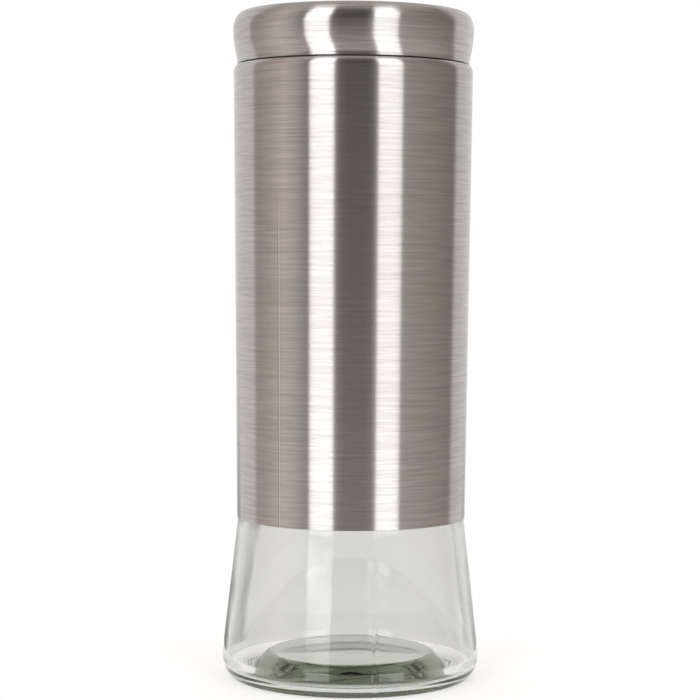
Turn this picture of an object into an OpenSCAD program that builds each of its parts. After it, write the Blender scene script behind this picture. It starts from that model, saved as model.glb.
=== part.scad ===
// Lidded glass canister: a tall glass jar in a tapered steel sleeve, closed by a quarter-turn screw lid.
// Millimetres, +Z up, origin at the centre of the ring that the jar stands on.

/* [Canister] */
// Height with the lid screwed down
canister_h = 288; // [240:1:346]
// Widest diameter of the glass foot
foot_d = 112; // [93:0.5:135]
// Height at which the foot is widest
foot_z = 11; // [9:0.5:13.5]
// How far the standing ring is set in from the foot
heel_w = 5.5; // [4.6:0.1:6.6]
// Width of the standing ring
bearing_w = 6; // [4.8:0.1:7.2]
// Height of the dome pushed up under the jar
punt_h = 4.2; // [2:0.1:5]

/* [Glass] */
// Wall of the jar
glass_t = 3; // [2.4:0.1:3.6]
// Glass left under the inside floor, at its centre
floor_t = 6.8; // [5.6:0.1:8.1]
// Glass left under the channel that runs round the inside floor
channel_t = 3; // [2.5:0.1:3.6]
// Width of the channel, from the wall in
channel_w = 9.6; // [8:0.1:11.5]
// Round where the inside wall meets the channel
channel_round = 5; // [4:0.5:6]
// Width of the slope from the channel up to the raised floor
slope_w = 8.3; // [7:0.1:9.9]
// Rounds at the foot and the top of that slope
slope_round = 5; // [4:0.5:6]
// Round of the shoulder under the neck
shoulder_round = 6; // [4:0.5:7.2]
// Grip notches pressed into the standing ring
notch_count = 160; // [100:1:180]
// Depth of a grip notch
notch_depth = 0.35; // [0.25:0.05:0.42]
// Length of a grip notch
notch_l = 3.4; // [2.8:0.1:4]

/* [Sleeve] */
// Diameter of the sleeve at its shoulder
sleeve_top_d = 103.6; // [90:0.1:124]
// Diameter of the sleeve at its bottom edge
sleeve_bottom_d = 99.5; // [88:0.1:112]
// Height of the sleeve's bottom edge
sleeve_z = 69.6; // [58:0.1:84]
// Steel sheet of the sleeve and the lid
steel_t = 0.5; // [0.4:0.05:0.6]
// Height of the rolled shoulder
shoulder_h = 3.6; // [3:0.1:4.4]
// How far the shoulder is rolled in
shoulder_in = 1.5; // [1.2:0.1:1.8]

/* [Lid] */
// Height of the lid
lid_h = 22.1; // [20:0.1:27]
// How far the lid stands out past the sleeve
lid_overhang = 0.28; // [0.2:0.02:0.4]
// How far the lid draws in from its widest line to its rim
lid_draft = 1.78; // [1.4:0.02:2.2]
// Height of the rounded top corner, down to the widest line
corner_h = 7.3; // [6:0.1:8.8]
// Width of the rounded top corner
corner_w = 4.2; // [3.4:0.1:5.1]
// Upright part of the lid's rim
rim_h = 1.4; // [1.1:0.1:1.8]
// How far the rim is turned in under the screw ring
rim_turn = 1.5; // [1.2:0.1:1.8]
// Gap between the closed lid and the sleeve
lid_gap = 0.5; // [0.4:0.05:0.8]

/* [Screw] */
// Setback of the neck from the lid's rim
neck_setback = 6.3; // [5.6:0.1:7.6]
// Thread starts round the neck
thread_starts = 6; // [4:1:6]
// Rise of the lid in one whole turn
thread_lead = 24; // [24:0.5:28.8]
// How far a thread stands out from the neck
thread_depth = 1.4; // [1.2:0.05:1.6]
// Height of a thread at its root
thread_w = 2; // [1.7:0.05:2.2]
// Angle that each thread runs round the neck
thread_span = 58; // [48:1:69]
// Angle that each lug of the screw ring spans
lug_span = 24; // [20:1:29]
// Wall of the screw ring
skirt_t = 1.8; // [1.5:0.05:2]
// Upright fins between the screw ring and the lid shell
fin_count = 24; // [12:1:30]

/* [Seal] */
// Thickness of the silicone ring
gasket_t = 2; // [1.7:0.05:2.4]
// Width of the silicone ring
gasket_w = 4.5; // [4.2:0.1:5.4]
// Thickness of the panel that presses on it
panel_t = 2; // [1.7:0.05:2.4]

/* [Clearances] */
// Glue film between the glass and the sleeve
glue_gap = 0.4; // [0.35:0.05:0.5]
// Free space between the screw ring and the thread crests
thread_gap = 0.4; // [0.35:0.05:0.48]
// Space between the closed gasket and the rim of the glass
seal_gap = 0.05; // [0.04:0.01:0.06]
// Fit of a piece pressed into another
press_gap = 0.05; // [0.04:0.01:0.06]

/* [Hidden] */
$fn = 96;

// Heights, from the lid down
lid_z = canister_h - lid_h;
sleeve_top_z = lid_z - lid_gap;
panel_drop = 2.5;
panel_top_z = canister_h - panel_drop;
panel_z = panel_top_z - panel_t;
rim_z = panel_z - gasket_t - seal_gap;
neck_z = sleeve_top_z - shoulder_h - 0.4;

// Radii of the steel, from the shoulder in
sleeve_top_r = sleeve_top_d / 2;
sleeve_bottom_r = sleeve_bottom_d / 2;
lid_r = sleeve_top_r + lid_overhang;
lid_rim_r = lid_r - lid_draft;
lid_top_r = lid_r - corner_w;
widest_z = canister_h - corner_h;
taper = (sleeve_top_r - sleeve_bottom_r) / (sleeve_top_z - shoulder_h - sleeve_z);
collar_r = lid_rim_r - neck_setback + thread_depth + 0.6;

// Radii of the screw
neck_r = lid_rim_r - neck_setback;
bore_r = neck_r - glass_t;
crest_r = neck_r + thread_depth;
skirt_in_r = crest_r + thread_gap;
skirt_out_r = skirt_in_r + skirt_t;
lug_r = neck_r + thread_gap;
flange_h = 2;
flange_z = lid_z + steel_t + press_gap;
pitch = thread_lead / thread_starts;
lug_w = pitch - thread_w - 0.6;
thread_z = rim_z - 2.6 - thread_w / 2;

// Radii of the glass and the seal
foot_r = foot_d / 2;
bearing_out_r = foot_r - heel_w;
bearing_in_r = bearing_out_r - bearing_w;
gasket_in_r = neck_r - glass_t / 2 - gasket_w / 2 + 0.25;
gasket_out_r = gasket_in_r + gasket_w;
keeper_w = 0.9;

steel_colour = [0.62, 0.6, 0.57];
glass_colour = [0.82, 0.85, 0.83, 0.45];
resin_colour = [0.2, 0.2, 0.21];
silicone_colour = [0.93, 0.93, 0.91];
glue_colour = [0.85, 0.84, 0.78];

// ---- outlines ----

function unit(v) = v / norm(v);
function flat(lists) = [for (l = lists) for (p = l) p];
function backwards(list) = [for (i = [len(list) - 1:-1:0]) list[i]];

// Corner b between a and c, cut back to an arc of radius b[2] where there is room for it
function rounded_corner(a, b, c, n) =
    let (
        corner = [b[0], b[1]],
        to_a = [a[0], a[1]] - corner,
        to_c = [c[0], c[1]] - corner,
        u = unit(to_a),
        v = unit(to_c),
        half = acos(u * v) / 2,
        back = min(b[2] / tan(half), 0.49 * norm(to_a), 0.49 * norm(to_c)),
        r = back * tan(half),
        centre = corner + unit(u + v) * r / sin(half),
        first = corner + u * back - centre,
        side = u[0] * v[1] - u[1] * v[0] > 0 ? -1 : 1,
        start = atan2(first[1], first[0]),
        sweep = side * (180 - 2 * half)
    )
    [for (i = [0:n]) centre + r * [cos(start + sweep * i / n), sin(start + sweep * i / n)]];

// Outline through points [r, z, corner radius], where a radius of 0 leaves the corner sharp
function rounded(p, n = 6) = flat([
    for (i = [0:len(p) - 1])
        let (b = p[i])
        b[2] > 0
            ? rounded_corner(p[(i + len(p) - 1) % len(p)], b, p[(i + 1) % len(p)], n)
            : [[b[0], b[1]]]
]);

// Quarter of an ellipse about [cx, cy], from angle a0 to a1
function oval(cx, cy, rx, ry, a0, a1, n = 10) =
    [for (i = [0:n]) let (a = a0 + (a1 - a0) * i / n) [cx + rx * cos(a), cy + ry * sin(a)]];

// Outer radius of the steel sleeve at height z
function sleeve_r(z) = sleeve_bottom_r + taper * (z - sleeve_z);

// Outer radius of the glass inside the sleeve at height z
function glass_r(z) = sleeve_r(z) - steel_t - glue_gap;

// Outer radius of the bare glass between the foot and the sleeve
function flare_r(z) = foot_r + (glass_r(sleeve_z) + glue_gap - foot_r) * (z - foot_z) / (sleeve_z - foot_z);

// ---- glass ----

entry_z = sleeve_z + 2;
floor_z = punt_h + floor_t;
channel_r = flare_r(channel_t) - glass_t;

module jar_lathe() {
    underside = [for (i = [0:8]) let (s = i / 8) [bearing_in_r * s, punt_h * (1 - s * s)]];
    heel = oval(bearing_out_r, foot_z, foot_r - bearing_out_r, foot_z, -90, 0);
    wall = rounded([
        [flare_r(sleeve_z - 1.5), sleeve_z - 1.5, 0],
        [glass_r(entry_z), entry_z, 0],
        [glass_r(neck_z), neck_z, shoulder_round],
        [neck_r, neck_z, 1.2],
        [neck_r, rim_z, 1],
        [bore_r, rim_z, 1],
        [bore_r, neck_z - 2, 3],
        [glass_r(neck_z) - glass_t, neck_z - glass_t - 3, 5],
        [glass_r(sleeve_z) - glass_t, sleeve_z, 12],
        [channel_r, channel_t, channel_round],
        [channel_r - channel_w, channel_t, slope_round],
        [channel_r - channel_w - slope_w, floor_z, slope_round],
        [0, floor_z, 0]
    ], 8);
    rotate_extrude() polygon(concat(underside, heel, wall));
}

// Band of thread or lug: a ridge that climbs by thread_lead in a turn, tapered at both ends
module helix_ridge(r_root, r_crest, w_root, w_crest, span, z, steps = 14) {
    sides = 4;
    ring = [for (i = [0:steps])
        let (
            a = span * (i / steps - 0.5),
            zc = z + thread_lead * a / 360,
            fade = min(1, 4 * min(i, steps - i) / steps + 0.25),
            r = r_root + (r_crest - r_root) * fade
        )
        for (q = [[r_root, -w_root / 2], [r, -w_crest / 2], [r, w_crest / 2], [r_root, w_root / 2]])
            [q[0] * cos(a), q[0] * sin(a), zc + q[1]]
    ];
    skin = [for (i = [0:steps - 1]) for (j = [0:sides - 1])
        let (k = (j + 1) % sides, p = i * sides)
        each [
            [p + j, p + k, p + sides + k],
            [p + j, p + sides + k, p + sides + j]
        ]
    ];
    last = steps * sides;
    caps = [[3, 2, 1, 0], [last, last + 1, last + 2, last + 3]];
    faces = concat(skin, caps);
    polyhedron(ring, r_crest > r_root ? faces : [for (f = faces) backwards(f)]);
}

module glass_jar() {
    root = 0.8;
    notch_w = 0.9;
    color(glass_colour)
    difference() {
        union() {
            jar_lathe();
            for (i = [0:thread_starts - 1])
                rotate(360 * i / thread_starts)
                    helix_ridge(
                        neck_r - root, crest_r, thread_w + 0.4, thread_w - 0.8, thread_span, thread_z
                    );
        }
        for (i = [0:notch_count - 1])
            rotate(360 * (i + 0.5) / notch_count)
                translate([bearing_in_r + 0.3, -notch_w / 2, -1])
                    cube([notch_l, notch_w, 1 + notch_depth]);
    }
}

// ---- steel sleeve and its glue ----

module steel_sleeve() {
    shoulder_z = sleeve_top_z - shoulder_h;
    outside = concat(
        [[sleeve_bottom_r, sleeve_z]],
        oval(sleeve_top_r - shoulder_in, shoulder_z, shoulder_in, shoulder_h, 0, 90)
    );
    inside = concat(
        oval(sleeve_top_r - shoulder_in, shoulder_z, shoulder_in - steel_t, shoulder_h - steel_t, 90, 0),
        [[sleeve_bottom_r - steel_t, sleeve_z]]
    );
    lip = [[collar_r, sleeve_top_z], [collar_r, sleeve_top_z - steel_t]];
    color(steel_colour)
        rotate_extrude()
            polygon(concat(outside, lip, inside));
}

// One ring of glue that fills the film between glass and steel over a short height
module glue_ring(z, h) {
    rotate_extrude()
        polygon([
            [glass_r(z), z],
            [sleeve_r(z) - steel_t, z],
            [sleeve_r(z + h) - steel_t, z + h],
            [glass_r(z + h), z + h]
        ]);
}

module sleeve_adhesive() {
    ring_h = 6;
    low = entry_z + 3;
    high = neck_z - shoulder_round - ring_h - 3;
    rings = 4;
    color(glue_colour)
        for (i = [0:rings - 1])
            glue_ring(low + (high - low) * i / (rings - 1), ring_h);
}

// ---- lid ----

// Side of the lid from its rim up to its widest line, moved in by shrink
function lid_side(shrink, n = 8) =
    [for (i = [0:n - 1])
        let (s = i / n, z = lid_z + rim_h + (widest_z - lid_z - rim_h) * s)
        [lid_rim_r + lid_draft * (1 - pow(1 - s, 1.6)) - shrink, z]
    ];

module lid_shell() {
    t = steel_t;
    outside = concat(
        [[lid_rim_r, lid_z]],
        lid_side(0),
        oval(lid_top_r, widest_z, corner_w, corner_h, 0, 90)
    );
    inside = concat(
        oval(lid_top_r, widest_z, corner_w - t, corner_h - t, 90, 0),
        backwards(lid_side(t)),
        [[lid_rim_r - t, lid_z + t], [lid_rim_r - rim_turn - t, lid_z + t], [lid_rim_r - rim_turn - t, lid_z]]
    );
    color(steel_colour)
        rotate_extrude()
            polygon(concat(outside, [[0, canister_h], [0, canister_h - t]], inside));
}

module lid_insert() {
    flange_r = lid_rim_r - steel_t - press_gap;
    keeper_in_r = gasket_in_r - press_gap - keeper_w;
    fin_t = 1.2;
    fin_gap = 0.15;
    body = [
        [0, panel_z, 0],
        [keeper_in_r, panel_z, 0],
        [keeper_in_r, panel_z - gasket_t + 0.6, 0.2],
        [keeper_in_r + keeper_w, panel_z - gasket_t + 0.6, 0.2],
        [keeper_in_r + keeper_w, panel_z, 0],
        [skirt_in_r, panel_z, 0],
        [skirt_in_r, flange_z, 0.3],
        [flange_r, flange_z, 0.2],
        [flange_r, flange_z + flange_h, 0.2],
        [skirt_out_r, flange_z + flange_h, 0.5],
        [skirt_out_r, panel_top_z, 1],
        [0, panel_top_z, 0]
    ];
    fin = concat(
        [[skirt_out_r - 0.5, flange_z + flange_h - 0.5]],
        [for (p = lid_side(steel_t + fin_gap)) if (p[1] > flange_z + flange_h - 0.5) p],
        [[lid_r - steel_t - fin_gap - 0.2, widest_z], [skirt_out_r - 0.5, widest_z]]
    );
    color(resin_colour)
    union() {
        rotate_extrude()
            polygon(rounded(body, 4));
        for (i = [0:thread_starts - 1])
            rotate(360 * i / thread_starts)
                helix_ridge(
                    skirt_in_r + 0.8, lug_r, lug_w + 0.3, lug_w - 0.5, lug_span, thread_z - pitch / 2, 8
                );
        for (i = [0:fin_count - 1])
            rotate([90, 0, 360 * i / fin_count])
                linear_extrude(fin_t, center = true)
                    polygon(fin);
    }
}

module lid_gasket() {
    outline = rounded([
        [gasket_in_r, panel_z - gasket_t, 0.4],
        [gasket_out_r, panel_z - gasket_t, 0.4],
        [gasket_out_r, panel_z, 0.4],
        [gasket_in_r, panel_z, 0.4]
    ], 4);
    color(silicone_colour)
        rotate_extrude()
            polygon(outline);
}

glass_jar();
steel_sleeve();
sleeve_adhesive();
lid_shell();
lid_insert();
lid_gasket();
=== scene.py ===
import math

import bpy
import numpy as np
from mathutils import Matrix, Vector, noise


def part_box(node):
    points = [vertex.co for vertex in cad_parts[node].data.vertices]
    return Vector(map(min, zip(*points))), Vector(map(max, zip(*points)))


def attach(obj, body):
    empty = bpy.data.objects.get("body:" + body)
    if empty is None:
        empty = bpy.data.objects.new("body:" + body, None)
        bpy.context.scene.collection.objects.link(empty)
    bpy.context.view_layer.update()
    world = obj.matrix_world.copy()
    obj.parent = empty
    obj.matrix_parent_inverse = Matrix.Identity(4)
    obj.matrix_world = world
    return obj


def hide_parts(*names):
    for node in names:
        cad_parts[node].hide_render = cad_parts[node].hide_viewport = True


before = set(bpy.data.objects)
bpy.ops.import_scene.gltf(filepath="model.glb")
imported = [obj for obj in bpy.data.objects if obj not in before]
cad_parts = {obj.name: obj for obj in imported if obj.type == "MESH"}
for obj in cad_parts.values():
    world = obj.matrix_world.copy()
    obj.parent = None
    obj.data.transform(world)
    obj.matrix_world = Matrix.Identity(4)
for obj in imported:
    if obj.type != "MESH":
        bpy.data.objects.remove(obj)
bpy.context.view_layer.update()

# Lengths are in millimetres unless a name ends in _M, and meshes are written in metres
MM = 0.001
FRONT = -math.pi / 2


def node_size(node):
    """Outer radius, bottom and top of a CAD node, in mm."""
    low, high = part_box(node)
    return high[0] / MM, low[2] / MM, high[2] / MM


FOOT_R, _, RIM_Z = node_size("glass_jar")
SLEEVE_TOP_R, SLEEVE_Z, SLEEVE_TOP_Z = node_size("steel_sleeve")
LID_R, LID_Z, LID_TOP_Z = node_size("lid_shell")

# Steel
STEEL_T = 0.5
SLEEVE_BOTTOM_R = SLEEVE_TOP_R - 2.05
SHOULDER_H = 3.6
SHOULDER_IN = 1.5
LID_DRAFT = 1.78
LID_RIM_H = 1.4
LID_CORNER_W = 4.2
LID_CORNER_H = 7.3
LID_BOW = 1.6
RIM_TURN = 1.5
LID_RIM_R = LID_R - LID_DRAFT
COLLAR_GAP = 0.6

# Glass
GLASS_T = 3.0
FOOT_Z = 11.0
BEARING_OUT_R = FOOT_R - 5.5
BEARING_IN_R = BEARING_OUT_R - 6.0
PUNT_H = 4.2
FLOOR_Z = 11.0
CHANNEL_Z = 3.0
CHANNEL_W = 9.6
CHANNEL_ROUND = 5.0
SLOPE_W = 8.3
SLOPE_ROUND = 5.0
GLUE_GAP = 0.4
NECK_SETBACK = 6.3
NECK_R = LID_RIM_R - NECK_SETBACK
BORE_R = NECK_R - GLASS_T
NECK_Z = SLEEVE_TOP_Z - SHOULDER_H - 0.4
NOTCHES = 160
NOTCH_H = 0.35
NOTCH_IN_R = BEARING_IN_R + 0.3
NOTCH_OUT_R = NOTCH_IN_R + 3.4
NOTCH_EDGE = 0.15
SEAM_ANGLE = FRONT + math.radians(10.9)
SEAM_W = 0.7
SEAM_H = 0.3

# Waves in the glass: height, length, and waves per radian round the wall
WALL_WAVE_H, WALL_WAVE_L, WALL_WAVE_ROUND = 0.09, 32, 2.2
FINE_WAVE_H, FINE_WAVE_L, FINE_WAVE_ROUND = 0.03, 14, 5
FLOOR_WAVE_H, FLOOR_WAVE_L = 0.25, 24

# Longest mesh edges up the jar
NECK_EDGE, BARE_EDGE, HIDDEN_EDGE = 0.4, 2.0, 12.0

# Screw thread on the neck
THREAD_STARTS = 6
THREAD_LEAD = 24.0
THREAD_DEPTH = 1.4
THREAD_HALF_W = 1.05
THREAD_FLANK = 0.45
THREAD_SPAN = math.radians(58)
THREAD_RUNOUT = 0.12 * THREAD_SPAN
THREAD_Z = RIM_Z - 3.6

SEGMENTS = 4 * NOTCHES


# ---- camera ----

CAMERA_AT_M = (-0.0008, -0.8943, 0.185)
CAMERA_DOWN_DEG = 2.73
CAMERA_ROLL_DEG = 0.32
LENS = 105.5


def add_camera():
    """The view that shows the front: a little above the middle, nearly level, with a long lens."""
    data = bpy.data.cameras.new("camera")
    data.lens = LENS
    data.sensor_width = 36
    data.clip_start = 0.05
    camera = bpy.data.objects.new("camera", data)
    pitch = Matrix.Rotation(math.radians(90 - CAMERA_DOWN_DEG), 4, "X")
    roll = Matrix.Rotation(math.radians(CAMERA_ROLL_DEG), 4, "Z")
    camera.matrix_world = Matrix.Translation(CAMERA_AT_M) @ pitch @ roll
    bpy.context.scene.collection.objects.link(camera)
    bpy.context.scene.camera = camera


# ---- mesh helpers ----

def rounded(corners, steps=8):
    """Closed outline through (r, z, corner radius), each rounded corner as an arc."""
    points = []
    count = len(corners)
    for i, (r, z, radius) in enumerate(corners):
        here = Vector((r, z))
        if radius <= 0:
            points.append((r, z))
            continue
        to_a = Vector(corners[i - 1][:2]) - here
        to_c = Vector(corners[(i + 1) % count][:2]) - here
        u, v = to_a.normalized(), to_c.normalized()
        half = u.angle(v) / 2
        back = min(radius / math.tan(half), 0.49 * to_a.length, 0.49 * to_c.length)
        arc_r = back * math.tan(half)
        centre = here + (u + v).normalized() * arc_r / math.sin(half)
        first = here + u * back - centre
        side = -1 if u.x * v.y - u.y * v.x > 0 else 1
        sweep = side * (math.pi - 2 * half)
        start = math.atan2(first.y, first.x)
        for k in range(steps + 1):
            angle = start + sweep * k / steps
            points.append((centre.x + arc_r * math.cos(angle), centre.y + arc_r * math.sin(angle)))
    return points


def oval(cx, cy, rx, ry, start, end, steps):
    """Part of an ellipse, from start to end degrees."""
    angles = [math.radians(start + (end - start) * i / steps) for i in range(steps + 1)]
    return [(cx + rx * math.cos(a), cy + ry * math.sin(a)) for a in angles]


def refined(points, spacing):
    """The open path with every stretch split to at most spacing(r, z) mm."""
    out = []
    for (r0, z0), (r1, z1) in zip(points, points[1:]):
        longest = spacing((r0 + r1) / 2, (z0 + z1) / 2)
        parts = max(1, math.ceil(math.hypot(r1 - r0, z1 - z0) / longest))
        out += [(r0 + (r1 - r0) * i / parts, z0 + (z1 - z0) * i / parts) for i in range(parts)]
    return out + [points[-1]]


def lathe(name, outline, segments=SEGMENTS, shape=None, sharp_deg=38):
    """Turn an outline of (r, z) about Z. It runs anticlockwise and closes, or ends on the axis.

    shape(r, z, angle) takes arrays and returns the moved r and z.
    """
    points = np.array(outline, dtype=float)
    closed = points[0, 0] > 1e-6
    angle = np.arange(segments) * 2 * math.pi / segments
    r, z = np.meshgrid(points[:, 0], angle, indexing="ij")[0], np.repeat(points[:, 1:2], segments, 1)
    if shape:
        r, z = shape(r, z, np.broadcast_to(angle, r.shape))
    coords = np.stack([r * np.cos(angle), r * np.sin(angle), z], -1) * MM
    rings, verts = [], []
    for i, point in enumerate(points):
        first = len(verts)
        if point[0] <= 1e-6:
            verts.append(tuple(coords[i, 0]))
            rings.append([first] * segments)
        else:
            verts += [tuple(c) for c in coords[i]]
            rings.append(list(range(first, first + segments)))
    faces = []
    last = len(points) if closed else len(points) - 1
    for i in range(last):
        low, high = rings[i], rings[(i + 1) % len(points)]
        for j in range(segments):
            k = (j + 1) % segments
            face = [low[j], low[k], high[k], high[j]]
            faces.append([v for n, v in enumerate(face) if v != face[n - 1]])
    mesh = bpy.data.meshes.new(name)
    mesh.from_pydata(verts, [], faces)
    mesh.polygons.foreach_set("use_smooth", [True] * len(mesh.polygons))
    mark_sharp(mesh, points, rings, closed, math.radians(sharp_deg))
    piece = bpy.data.objects.new(name, mesh)
    bpy.context.scene.collection.objects.link(piece)
    return piece


def mark_sharp(mesh, points, rings, closed, limit):
    """Sharp edges round each ring where the outline turns by more than limit."""
    sharp_rings = set()
    count = len(points)
    for i in range(0 if closed else 1, count if closed else count - 1):
        a = points[i] - points[i - 1]
        b = points[(i + 1) % count] - points[i]
        turn = math.atan2(a[0] * b[1] - a[1] * b[0], a @ b)
        if abs(turn) > limit:
            sharp_rings.add(i)
    ring_of = {}
    for i in sharp_rings:
        for v in rings[i]:
            ring_of[v] = i
    for edge in mesh.edges:
        a, b = edge.vertices
        if a in ring_of and ring_of[a] == ring_of.get(b):
            edge.use_edge_sharp = True
    mesh.update()


# ---- glass jar ----

def sleeve_r(z):
    """Outer radius of the sleeve's straight taper at height z."""
    share = (z - SLEEVE_Z) / (SLEEVE_TOP_Z - SHOULDER_H - SLEEVE_Z)
    return SLEEVE_BOTTOM_R + (SLEEVE_TOP_R - SLEEVE_BOTTOM_R) * share


def glass_r(z):
    """Outer radius of the glass inside the sleeve."""
    return sleeve_r(z) - STEEL_T - GLUE_GAP


def flare_r(z):
    """Outer radius of the bare glass above the foot."""
    waist = glass_r(SLEEVE_Z) + GLUE_GAP
    return FOOT_R + (waist - FOOT_R) * (z - FOOT_Z) / (SLEEVE_Z - FOOT_Z)


def jar_outline():
    """Half section of the jar, from the middle of its underside out, up, in and down to the floor."""
    underside = [(BEARING_IN_R * s, PUNT_H * (1 - s * s)) for s in [i / 16 for i in range(17)]]
    ring = [(r + step, 0) for r in (NOTCH_IN_R, NOTCH_OUT_R) for step in (-NOTCH_EDGE, NOTCH_EDGE)]
    heel = oval(BEARING_OUT_R, FOOT_Z, FOOT_R - BEARING_OUT_R, FOOT_Z, -90, 0, 20)
    channel_r = flare_r(CHANNEL_Z) - GLASS_T
    wall = rounded([
        (flare_r(SLEEVE_Z - 1.5), SLEEVE_Z - 1.5, 0),
        (glass_r(SLEEVE_Z + 2), SLEEVE_Z + 2, 0),
        (glass_r(NECK_Z), NECK_Z, 6),
        (NECK_R, NECK_Z, 1.2),
        (NECK_R, RIM_Z, 1),
        (BORE_R, RIM_Z, 1),
        (BORE_R, NECK_Z - 2, 3),
        (glass_r(NECK_Z) - GLASS_T, NECK_Z - GLASS_T - 3, 5),
        (glass_r(SLEEVE_Z) - GLASS_T, SLEEVE_Z, 12),
        (channel_r, CHANNEL_Z, CHANNEL_ROUND),
        (channel_r - CHANNEL_W, CHANNEL_Z, SLOPE_ROUND),
        (channel_r - CHANNEL_W - SLOPE_W, FLOOR_Z, SLOPE_ROUND),
        (0, FLOOR_Z, 0),
    ], 12)
    return underside + ring + heel + wall


def jar_spacing(r, z):
    """Longest mesh edge up the jar: fine on the threaded neck, medium where the glass is bare."""
    if z > NECK_Z + 1 and r > NECK_R - 0.2:
        return NECK_EDGE
    return BARE_EDGE if z < SLEEVE_Z + 4 else HIDDEN_EDGE


def thread_height(r, z, angle):
    """How far the six threads stand out of the neck."""
    height = np.zeros_like(r)
    pitch_angle = 2 * math.pi / THREAD_STARTS
    local = (angle + pitch_angle / 2) % pitch_angle - pitch_angle / 2
    centre = THREAD_Z + THREAD_LEAD * local / (2 * math.pi)
    across = np.clip((THREAD_HALF_W - np.abs(z - centre)) / THREAD_FLANK, 0, 1)
    along = np.clip((THREAD_SPAN / 2 - np.abs(local)) / THREAD_RUNOUT, 0, 1)
    ease = across * across * (3 - 2 * across) * along * along * (3 - 2 * along)
    on_neck = (r > NECK_R - 0.05) & (z > NECK_Z + 1.2) & (z < RIM_Z - 1)
    height[on_neck] = THREAD_DEPTH * ease[on_neck]
    return height


def seam_height(r, z, angle):
    """Two fine mould seams up the outside of the bare glass, opposite each other."""
    off = (angle - SEAM_ANGLE + math.pi / 2) % math.pi - math.pi / 2
    outside = (z > 1.5) & (z < SLEEVE_Z) & (r > flare_r(z) - 2.6)
    return np.where(outside, SEAM_H * np.exp(-((off * r / SEAM_W) ** 2)), 0)


def wall_ripple(r, z, angle):
    """Slow waves that the plunger leaves on the inside of pressed glass."""
    wave = np.zeros_like(r)
    inside = (z > CHANNEL_Z - 0.5) & (z < SLEEVE_Z + 30) & (r < flare_r(z) - 2.5) & (r > 20)
    for i, j in zip(*np.nonzero(inside)):
        cosine, sine = math.cos(angle[i, j]), math.sin(angle[i, j])
        slow = Vector((WALL_WAVE_ROUND * cosine, WALL_WAVE_ROUND * sine, z[i, j] / WALL_WAVE_L))
        fine = Vector((FINE_WAVE_ROUND * cosine, FINE_WAVE_ROUND * sine, z[i, j] / FINE_WAVE_L + 9))
        wave[i, j] = WALL_WAVE_H * noise.noise(slow) + FINE_WAVE_H * noise.noise(fine)
    return wave


def floor_ripple(r, z, angle):
    """Gentle unevenness of the inside floor, left by the gob."""
    wave = np.zeros_like(r)
    inside = (z > CHANNEL_Z - 0.5) & (z < FLOOR_Z + 0.5) & (r < flare_r(0) - 8) & (r > 0.5)
    for i, j in zip(*np.nonzero(inside)):
        x, y = r[i, j] * math.cos(angle[i, j]), r[i, j] * math.sin(angle[i, j])
        place = Vector((x / FLOOR_WAVE_L, y / FLOOR_WAVE_L, 3))
        wave[i, j] = FLOOR_WAVE_H * noise.noise(place)
    return wave


def shape_jar(r, z, angle):
    r = r + thread_height(r, z, angle) + seam_height(r, z, angle)
    r, z = r + wall_ripple(r, z, angle), z + floor_ripple(r, z, angle)
    column = np.broadcast_to(np.arange(r.shape[1]) % 4 < 2, r.shape)
    on_ring = (r > NOTCH_IN_R) & (r < NOTCH_OUT_R) & (z < NOTCH_H)
    z = np.where(column & on_ring, NOTCH_H, z)
    return r, z


def add_jar():
    jar = lathe("jar_glass", refined(jar_outline(), jar_spacing), shape=shape_jar)
    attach(jar, "jar")
    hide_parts("glass_jar")
    jar.data.materials.append(glass_material())
    return jar


# ---- steel ----

def sleeve_outline():
    shoulder_z = SLEEVE_TOP_Z - SHOULDER_H
    centre_r = SLEEVE_TOP_R - SHOULDER_IN
    collar_r = NECK_R + THREAD_DEPTH + COLLAR_GAP
    edge = 0.14
    outside = oval(centre_r, shoulder_z, SHOULDER_IN, SHOULDER_H, 0, 90, 20)
    inside = oval(centre_r, shoulder_z, SHOULDER_IN - STEEL_T, SHOULDER_H - STEEL_T, 90, 0, 12)
    return (
        [(SLEEVE_BOTTOM_R - edge, SLEEVE_Z), (SLEEVE_BOTTOM_R, SLEEVE_Z + edge)]
        + outside
        + [(collar_r, SLEEVE_TOP_Z), (collar_r, SLEEVE_TOP_Z - STEEL_T)]
        + inside
        + [(SLEEVE_BOTTOM_R - STEEL_T, SLEEVE_Z)]
    )


def lid_side(shrink, steps):
    """Side of the lid from its rim up to its widest line."""
    widest_z = LID_TOP_Z - LID_CORNER_H
    foot_z = LID_Z + LID_RIM_H
    side = []
    for i in range(steps):
        s = i / steps
        bow = 1 - (1 - s) ** LID_BOW
        side.append((LID_RIM_R + LID_DRAFT * bow - shrink, foot_z + (widest_z - foot_z) * s))
    return side


def lid_outline():
    t = STEEL_T
    centre = (LID_R - LID_CORNER_W, LID_TOP_Z - LID_CORNER_H)
    rim_in_r = LID_RIM_R - RIM_TURN - t
    edge = 0.16
    return (
        [(0, LID_TOP_Z - t)]
        + oval(*centre, LID_CORNER_W - t, LID_CORNER_H - t, 90, 0, 16)
        + lid_side(t, 12)[::-1]
        + [(LID_RIM_R - t, LID_Z + t), (rim_in_r, LID_Z + t), (rim_in_r, LID_Z)]
        + [(LID_RIM_R - edge, LID_Z), (LID_RIM_R, LID_Z + edge)]
        + lid_side(0, 20)
        + oval(*centre, LID_CORNER_W, LID_CORNER_H, 0, 90, 28)
        + [(0, LID_TOP_Z)]
    )


def add_steel():
    sleeve = lathe("sleeve_steel", refined(sleeve_outline(), lambda r, z: 12), 360)
    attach(sleeve, "jar")
    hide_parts("steel_sleeve")
    lid = lathe("lid_steel", refined(lid_outline(), lambda r, z: 6), 360)
    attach(lid, "lid")
    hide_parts("lid_shell")
    for piece, material in ((sleeve, sleeve_material()), (lid, lid_material())):
        piece.data.materials.append(material)


# ---- materials ----

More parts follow.
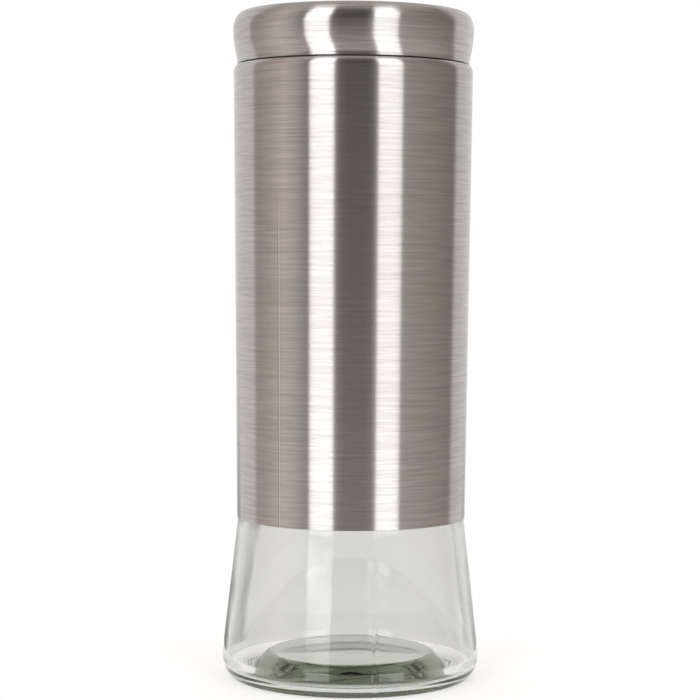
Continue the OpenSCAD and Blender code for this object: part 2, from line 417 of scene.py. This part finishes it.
class Nodes:
    """Short calls for building a node tree."""

    def __init__(self, tree):
        self.tree = tree

    def add(self, kind, **settings):
        node = self.tree.nodes.new(kind)
        for key, value in settings.items():
            setattr(node, key, value)
        return node

    def link(self, source, target):
        self.tree.links.new(source, target)

    def put(self, value, target):
        """A number goes into the socket, and another node's output is linked to it."""
        if isinstance(value, bpy.types.NodeSocket):
            self.link(value, target)
        else:
            target.default_value = value

    def math(self, operation, a, b=0.0):
        node = self.add("ShaderNodeMath", operation=operation)
        for value, target in zip((a, b), node.inputs):
            self.put(value, target)
        return node.outputs[0]

    def vector(self, x, y, z):
        node = self.add("ShaderNodeCombineXYZ")
        for value, target in zip((x, y, z), node.inputs):
            self.put(value, target)
        return node.outputs[0]

    def noise(self, vector, scale, detail=2.0, rough=0.5):
        node = self.add("ShaderNodeTexNoise")
        self.link(vector, node.inputs["Vector"])
        node.inputs["Scale"].default_value = scale
        node.inputs["Detail"].default_value = detail
        node.inputs["Roughness"].default_value = rough
        return node.outputs[0]

    def span(self, value, low, high, to_low=0.0, to_high=1.0, smooth=False):
        """Map low..high of a value to to_low..to_high, clamped."""
        node = self.add("ShaderNodeMapRange")
        node.interpolation_type = "SMOOTHSTEP" if smooth else "LINEAR"
        self.put(value, node.inputs["Value"])
        limits = {"From Min": low, "From Max": high, "To Min": to_low, "To Max": to_high}
        for name, number in limits.items():
            self.put(number, node.inputs[name])
        return node.outputs[0]

    def mix(self, share, a, b):
        """Mix two colours, given as (r, g, b) or sockets."""
        node = self.add("ShaderNodeMix", data_type="RGBA")
        self.put(share, node.inputs["Factor"])
        for value, target in ((a, node.inputs["A"]), (b, node.inputs["B"])):
            self.put(value if isinstance(value, bpy.types.NodeSocket) else (*value, 1), target)
        return node.outputs["Result"]

    def split(self, vector):
        node = self.add("ShaderNodeSeparateXYZ")
        self.link(vector, node.inputs[0])
        return node.outputs


class MaterialNodes(Nodes):
    """Short calls for one new material, with its shader."""

    def __init__(self, name):
        self.material = bpy.data.materials.new(name)
        self.material.use_nodes = True
        super().__init__(self.material.node_tree)
        self.shader = self.tree.nodes["Principled BSDF"]
        self.output = self.tree.nodes["Material Output"]

    def place(self):
        """Object coordinates: the place on the piece in metres, as it lies at rest."""
        return self.add("ShaderNodeTexCoord").outputs["Object"]

    def bump(self, height, strength, distance_m, normal=None):
        node = self.add("ShaderNodeBump")
        if normal:
            self.link(normal, node.inputs["Normal"])
        node.inputs["Strength"].default_value = strength
        node.inputs["Distance"].default_value = distance_m
        self.link(height, node.inputs["Height"])
        self.link(node.outputs[0], self.shader.inputs["Normal"])


# Grain of the steel: noise cells per radian round the piece, cells per metre across the grain, detail
FINE_GRAIN = (3.0, 2600, 2)
MEDIUM_GRAIN = (2.0, 950, 2)
BROAD_GRAIN = (0.8, 110, 2)
FINE_SHARE = 0.45
STEEL_LIGHT = (0.61, 0.59, 0.57)
STEEL_WARM = (0.60, 0.57, 0.545)
STEEL_DARK = (0.47, 0.45, 0.43)


def steel_base(nodes):
    """Steel brushed round Z. Returns x, y and z of the place, the grain, the colour and the roughness."""
    place = nodes.place()
    x, y, z = nodes.split(place)
    squares = nodes.math("ADD", nodes.math("MULTIPLY", x, x), nodes.math("MULTIPLY", y, y))
    radius = nodes.math("SQRT", squares)
    around_x = nodes.math("DIVIDE", x, radius)
    around_y = nodes.math("DIVIDE", y, radius)
    across = nodes.math("SUBTRACT", z, radius)

    def streaks(per_radian, per_metre, detail):
        stretch = nodes.vector(
            nodes.math("MULTIPLY", around_x, per_radian),
            nodes.math("MULTIPLY", around_y, per_radian),
            nodes.math("MULTIPLY", across, per_metre),
        )
        return nodes.noise(stretch, 1.0, detail)

    fine = nodes.math("MULTIPLY", streaks(*FINE_GRAIN), FINE_SHARE)
    medium = nodes.math("MULTIPLY", streaks(*MEDIUM_GRAIN), 1 - FINE_SHARE)
    grain = nodes.math("ADD", fine, medium)
    broad = streaks(*BROAD_GRAIN)
    cloud = nodes.noise(place, 26, 2)
    shader = nodes.shader
    shader.inputs["Metallic"].default_value = 1
    shader.inputs["Anisotropic"].default_value = 1
    shader.inputs["Anisotropic Rotation"].default_value = 0.25
    tangent = nodes.add("ShaderNodeTangent", direction_type="RADIAL", axis="Z")
    nodes.link(tangent.outputs[0], shader.inputs["Tangent"])
    light = nodes.mix(nodes.span(cloud, 0.35, 0.65), STEEL_LIGHT, STEEL_WARM)
    toned = nodes.mix(nodes.span(grain, 0.62, 0.36), light, STEEL_DARK)
    toned = nodes.mix(nodes.span(broad, 0.60, 0.30, 0, 0.18), toned, STEEL_DARK)
    roughness = nodes.span(grain, 0.3, 0.7, 0.235, 0.205)
    return dict(x=x, y=y, z=z, grain=grain, colour=toned, roughness=roughness)


def finish_steel(nodes, steel, normal=None):
    nodes.link(steel["colour"], nodes.shader.inputs["Base Color"])
    nodes.link(steel["roughness"], nodes.shader.inputs["Roughness"])
    nodes.bump(steel["grain"], 0.07, 0.00002, normal)
    return nodes.material


# Heights in metres between which the turn of the lid's shading normal grows, then fades,
# and the turn in radians
TURN_GROWS_M = (0.266, 0.275)
TURN_FADES_M = (0.288, 0.279)
NORMAL_TURN = 0.046


def lid_material():
    """Spun steel. Its shading normal turns a little about Z at half height, to bow the reflected strips."""
    nodes = MaterialNodes("spun_steel")
    steel = steel_base(nodes)
    z = steel["z"]
    grows = nodes.span(z, *TURN_GROWS_M, smooth=True)
    fades = nodes.span(z, *TURN_FADES_M, smooth=True)
    share = nodes.math("MULTIPLY", grows, fades)
    turned = nodes.add("ShaderNodeVectorRotate", rotation_type="Z_AXIS")
    nodes.link(nodes.add("ShaderNodeNewGeometry").outputs["Normal"], turned.inputs["Vector"])
    nodes.link(nodes.math("MULTIPLY", share, NORMAL_TURN), turned.inputs["Angle"])
    return finish_steel(nodes, steel, turned.outputs[0])


# The weld line shows from the first height down, and fully from the second; beside it lies a line of
# painted shade
WELD_ANGLE = FRONT - math.radians(36.9)
WELD_STARTS_M = (0.215, 0.185)
WELD_SHADE_OFF_M = 0.0005


def sleeve_material():
    """Brushed sheet with the weld line up its side, left of the front, in painted highlight and shade."""
    nodes = MaterialNodes("rolled_steel")
    steel = steel_base(nodes)
    x, y, z = steel["x"], steel["y"], steel["z"]
    sine, cosine = math.sin(WELD_ANGLE), math.cos(WELD_ANGLE)
    along = nodes.math("ADD", nodes.math("MULTIPLY", x, -sine), nodes.math("MULTIPLY", y, cosine))
    facing = nodes.math("ADD", nodes.math("MULTIPLY", x, cosine), nodes.math("MULTIPLY", y, sine))
    this_side = nodes.span(facing, 0.02, 0.03)
    here = nodes.math("MULTIPLY", this_side, nodes.span(z, *WELD_STARTS_M, smooth=True))

    def stripe(across, half_width, strength):
        edge = nodes.span(nodes.math("ABSOLUTE", across), 0.0001, half_width)
        inside = nodes.math("SUBTRACT", 1.0, edge)
        return nodes.math("MULTIPLY", inside, nodes.math("MULTIPLY", here, strength))

    # The weld has no ridge in the mesh: its light stripe is a painted highlight on the seam
    light = stripe(along, half_width=0.00035, strength=0.7)
    # The dark stripe beside the weld is painted shade of the seam
    beside = nodes.math("ADD", along, WELD_SHADE_OFF_M)
    painted_shade_stripe = stripe(beside, half_width=0.0004, strength=0.5)
    # Mix in the weld's painted highlight, then its painted shade
    colour = nodes.mix(light, steel["colour"], (0.85, 0.83, 0.8))
    steel["colour"] = nodes.mix(painted_shade_stripe, colour, (0.2, 0.18, 0.17))
    return finish_steel(nodes, steel)


def glass_material():
    """Clear soda glass, faintly green where it is thick."""
    nodes = MaterialNodes("soda_glass")
    shader = nodes.shader
    shader.inputs["Base Color"].default_value = (1, 1, 1, 1)
    shader.inputs["Transmission Weight"].default_value = 1
    shader.inputs["IOR"].default_value = 1.5
    place = nodes.place()
    smear = nodes.noise(place, 60, 3)
    nodes.link(nodes.span(smear, 0.5, 0.8, 0.0, 0.035), shader.inputs["Roughness"])
    nodes.bump(nodes.noise(place, 40, 1), 0.15, 0.0004)
    absorb = nodes.add("ShaderNodeVolumeAbsorption")
    absorb.inputs["Color"].default_value = (0.50, 0.545, 0.42, 1)
    absorb.inputs["Density"].default_value = 40
    nodes.link(absorb.outputs[0], nodes.output.inputs["Volume"])
    return nodes.material


def plastic_material():
    """Dark moulded polypropylene with a fine spark-eroded texture."""
    nodes = MaterialNodes("screw_ring_resin")
    place = nodes.place()
    cloud = nodes.noise(place, 90, 3)
    grain = nodes.noise(place, 2600, 2)
    colour = nodes.mix(nodes.span(cloud, 0.35, 0.65), (0.055, 0.055, 0.058), (0.075, 0.074, 0.076))
    nodes.link(colour, nodes.shader.inputs["Base Color"])
    nodes.link(nodes.span(grain, 0.3, 0.7, 0.42, 0.55), nodes.shader.inputs["Roughness"])
    nodes.bump(grain, 0.2, 0.00005)
    return nodes.material


def silicone_material():
    """Milky silicone, a little dusty."""
    nodes = MaterialNodes("milky_silicone")
    place = nodes.place()
    dust = nodes.noise(place, 400, 4)
    colour = nodes.mix(nodes.span(dust, 0.45, 0.7), (0.8, 0.8, 0.77), (0.68, 0.67, 0.64))
    nodes.link(colour, nodes.shader.inputs["Base Color"])
    nodes.link(nodes.span(dust, 0.4, 0.7, 0.4, 0.6), nodes.shader.inputs["Roughness"])
    nodes.shader.inputs["Subsurface Weight"].default_value = 0.2
    nodes.shader.inputs["Subsurface Radius"].default_value = (0.003, 0.003, 0.0025)
    nodes.bump(dust, 0.15, 0.00004)
    return nodes.material


def glue_material():
    """Cured clear silicone glue with small bubbles."""
    nodes = MaterialNodes("cured_glue")
    place = nodes.place()
    bubbles = nodes.noise(place, 700, 3)
    colour = nodes.mix(nodes.span(bubbles, 0.4, 0.65), (0.62, 0.61, 0.56), (0.72, 0.71, 0.67))
    nodes.link(colour, nodes.shader.inputs["Base Color"])
    nodes.link(nodes.span(bubbles, 0.3, 0.7, 0.3, 0.5), nodes.shader.inputs["Roughness"])
    nodes.bump(bubbles, 0.3, 0.00005)
    return nodes.material


def dress(node, material):
    """Give a CAD node that stays its own material in every slot."""
    mesh = bpy.data.objects[node].data
    if not mesh.materials:
        mesh.materials.append(material)
    for index in range(len(mesh.materials)):
        mesh.materials[index] = material


# ---- stage ----

TABLE_R_M = 0.115
TABLE_Z_M = -0.0001
TABLE_GLOW = 0.62


def add_floor():
    """Small round pale table under the object, a little below it so that the two don't touch."""
    bpy.ops.mesh.primitive_circle_add(
        vertices=96, radius=TABLE_R_M, fill_type="NGON", location=(0, 0, TABLE_Z_M)
    )
    floor = bpy.context.object
    floor.name = "table"
    nodes = MaterialNodes("table_white")
    nodes.shader.inputs["Base Color"].default_value = (0.6, 0.6, 0.6, 1)
    nodes.shader.inputs["Roughness"].default_value = 0.8
    nodes.shader.inputs["Emission Color"].default_value = (1, 1, 1, 1)
    nodes.shader.inputs["Emission Strength"].default_value = TABLE_GLOW
    floor.data.materials.append(nodes.material)


# Brightness of the room round the table by compass angle from the camera's side, in degrees
ROOM = [
    (-180, (0.82, 0.81, 0.815)),
    (-140, (0.82, 0.81, 0.80)),
    (-114, (0.80, 0.78, 0.76)),
    (-108, (0.40, 0.36, 0.34)),
    (-90, (0.52, 0.46, 0.43)),
    (-70, (0.76, 0.67, 0.63)),
    (-56, (0.54, 0.49, 0.47)),
    (-44, (0.20, 0.19, 0.19)),
    (-19, (0.13, 0.11, 0.107)),
    (-7, (0.05, 0.043, 0.042)),
    (5, (0.045, 0.042, 0.041)),
    (17, (0.045, 0.042, 0.042)),
    (48, (0.42, 0.385, 0.37)),
    (66, (0.39, 0.335, 0.31)),
    (82, (0.34, 0.29, 0.265)),
    (104, (0.27, 0.23, 0.21)),
    (114, (0.23, 0.195, 0.18)),
    (121, (0.74, 0.72, 0.70)),
    (150, (0.82, 0.81, 0.80)),
    (180, (0.82, 0.81, 0.815)),
]
# Above and below the room, with the sines of slope between which each comes in
CEILING = (0.60, 0.56, 0.54)
CEILING_SLOPES = (0.62, 0.8)
FOREGROUND = (0.90, 0.84, 0.815)
FOREGROUND_SLOPES = (-0.17, -0.27)
FOREGROUND_SHARE = 0.85
# Panels in the room: first and last compass angle in degrees, sine of the lowest and highest slope,
# soft edge (in radians round, and as a sine up) and brightness.
# Five parts of two soft boxes, then two dark cards.
BOX_EDGE, BOX_LIGHT = 0.012, 2.7
CARD_EDGE = 0.03
LEFT_BOX = (-42.4, -18.2)
RIGHT_BOX = (24.4, 48.4)
PANELS = [
    (*LEFT_BOX, -0.8, -0.12, BOX_EDGE, BOX_LIGHT),
    (*LEFT_BOX, 0.042, 0.084, BOX_EDGE, BOX_LIGHT),
    (*LEFT_BOX, 0.108, 0.75, BOX_EDGE, BOX_LIGHT),
    (*RIGHT_BOX, -0.8, -0.12, BOX_EDGE, BOX_LIGHT),
    (*RIGHT_BOX, 0.108, 0.75, BOX_EDGE, BOX_LIGHT),
    (-170, -150, -0.25, -0.105, CARD_EDGE, 0.30),
    (150, 165, -0.25, -0.11, CARD_EDGE, 0.45),
]
LIGHT_BOUNCES = 32


def add_room():
    """Studio round the table: pale backdrop with dark cards at its sides, dim room, two tall soft boxes."""
    world = bpy.data.worlds.new("studio")
    bpy.context.scene.world = world
    world.use_nodes = True
    nodes = Nodes(world.node_tree)
    background = nodes.tree.nodes["Background"]
    x, y, z = nodes.split(nodes.add("ShaderNodeTexCoord").outputs["Generated"])
    compass = nodes.math("ARCTAN2", x, nodes.math("MULTIPLY", y, -1.0))
    ramp = nodes.add("ShaderNodeValToRGB")
    nodes.link(nodes.span(compass, -math.pi, math.pi), ramp.inputs[0])
    stops = ramp.color_ramp.elements
    for angle, _ in ROOM[1:-1]:
        stops.new((angle + 180) / 360)
    for stop, (_, colour) in zip(stops, ROOM):
        stop.color = (*colour, 1)
    up = nodes.span(z, *CEILING_SLOPES, smooth=True)
    down = nodes.span(z, *FOREGROUND_SLOPES, 0, FOREGROUND_SHARE, smooth=True)
    light = nodes.mix(down, nodes.mix(up, ramp.outputs[0], CEILING), FOREGROUND)
    for first, last, low, high, edge, brightness in PANELS:
        middle = math.radians((first + last) / 2)
        half = math.radians((last - first) / 2)
        off = nodes.math("ABSOLUTE", nodes.math("SUBTRACT", compass, middle))
        inside = nodes.span(off, half + edge, half - edge, smooth=True)
        over_low = nodes.span(z, low - edge, low + edge)
        under_high = nodes.span(z, high + edge, high - edge)
        height = nodes.math("MULTIPLY", over_low, under_high)
        light = nodes.mix(nodes.math("MULTIPLY", inside, height), light, (brightness,) * 3)
    seen = nodes.add("ShaderNodeLightPath").outputs["Is Camera Ray"]
    nodes.link(nodes.mix(seen, light, (1, 1, 1)), background.inputs["Color"])


add_camera()
add_room()
add_floor()
add_jar()
add_steel()
dress("lid_insert", plastic_material())
dress("lid_gasket", silicone_material())
dress("sleeve_adhesive", glue_material())
bpy.context.scene.view_settings.view_transform = "Standard"
# The thick glass base needs this many bounces before its light gets out
for kind in ("max_bounces", "glossy_bounces", "transmission_bounces"):
    setattr(bpy.context.scene.cycles, kind, LIGHT_BOUNCES)
